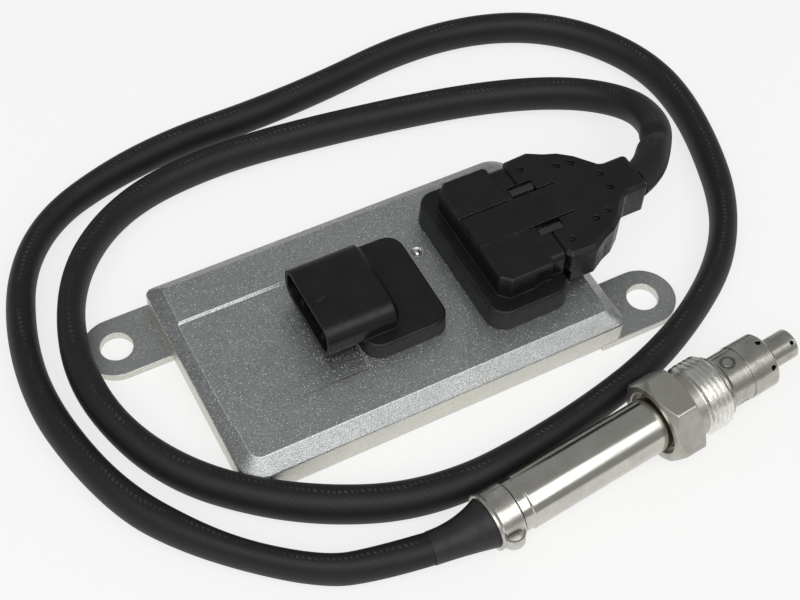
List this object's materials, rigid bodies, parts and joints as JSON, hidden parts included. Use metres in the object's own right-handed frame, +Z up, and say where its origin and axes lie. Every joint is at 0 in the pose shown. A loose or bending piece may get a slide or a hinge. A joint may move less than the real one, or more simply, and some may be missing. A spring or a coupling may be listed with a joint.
{
  "type": "nitrogen oxide sensor",
  "caption": "Exhaust gas sensor: cast control unit with two ears and moulded headers, plug, sleeved cable lying in loops, stainless probe with free-turning hex screw.",
  "frame": {"origin": "on the resting surface, midway between the control unit's two fixing holes", "axes": "+Z up, square to the resting surface; +X along the control unit towards the plug; +Y across it, away from the probe"},
  "size_m": [0.2292, 0.1713, 0.0271],
  "materials": {
    "cast_aluminium_base": "as cast, slightly worn",
    "cast_aluminium_cover": "dark, blasted, speckled",
    "seal_rubber": "matt",
    "steel_ball": "polished",
    "board_laminate": "solder mask",
    "zinc_steel": "zinc plated",
    "moulded_chip": "matt",
    "ferrite": "matt",
    "can_aluminium": "bright",
    "black_plastic": "fine grained",
    "tinned_pins": "tinned",
    "grey_plastic": "matt",
    "wire_insulation": "smooth",
    "woven_sleeve": "woven sleeve over rubber",
    "boot_rubber": "smooth, fine speckle",
    "stainless_band": "stainless",
    "stainless_polished": "polished tube",
    "white_ceramic": "matt",
    "stainless_turned": "turned",
    "pressed_talc": "pressed powder",
    "stainless_hex": "turned, satin flats"
  },
  "bodies": {
    "sensor": {"housing_base": "cast_aluminium_base", "housing_cover": "cast_aluminium_cover", "cover_seal": "seal_rubber", "sealing_ball": "steel_ball", "circuit_board": "board_laminate", "board_screws": "zinc_steel", "processor": "moulded_chip", "driver_chips": "moulded_chip", "heater_switches": "moulded_chip", "inductor": "ferrite", "capacitors": "can_aluminium", "vehicle_header": "black_plastic", "vehicle_header_pins": "tinned_pins", "vehicle_header_seal": "seal_rubber", "sensor_header": "black_plastic", "sensor_header_pins": "tinned_pins", "sensor_header_seal": "seal_rubber", "contact_carrier": "grey_plastic", "plug_seal": "seal_rubber", "plug_contacts": "tinned_pins", "plug_cover": "black_plastic", "plug_shell": "black_plastic", "cable_grommet": "seal_rubber", "plug_wires": "wire_insulation", "sensor_cable": "woven_sleeve", "cable_boot": "boot_rubber", "boot_clamp": "stainless_band", "barrel": "stainless_polished", "probe_wires": "wire_insulation", "rear_grommet": "seal_rubber", "contact_holder": "white_ceramic", "probe_body": "stainless_turned", "ceramic_insulators": "white_ceramic", "talc_packing": "pressed_talc", "retaining_ring": "stainless_turned", "ceramic_element": "white_ceramic", "inner_shield": "stainless_polished", "outer_shield": "stainless_polished"},
    "screw": {"hex_screw": "stainless_hex"}
  },
  "joints": [
    {"name": "screw_turn", "type": "hinge", "parent": "sensor", "child": "screw", "pos_m": [0.048, -0.0643, 0.01126], "axis": [0.9948, 0.0827, 0.0593], "continuous": true}
  ]
}
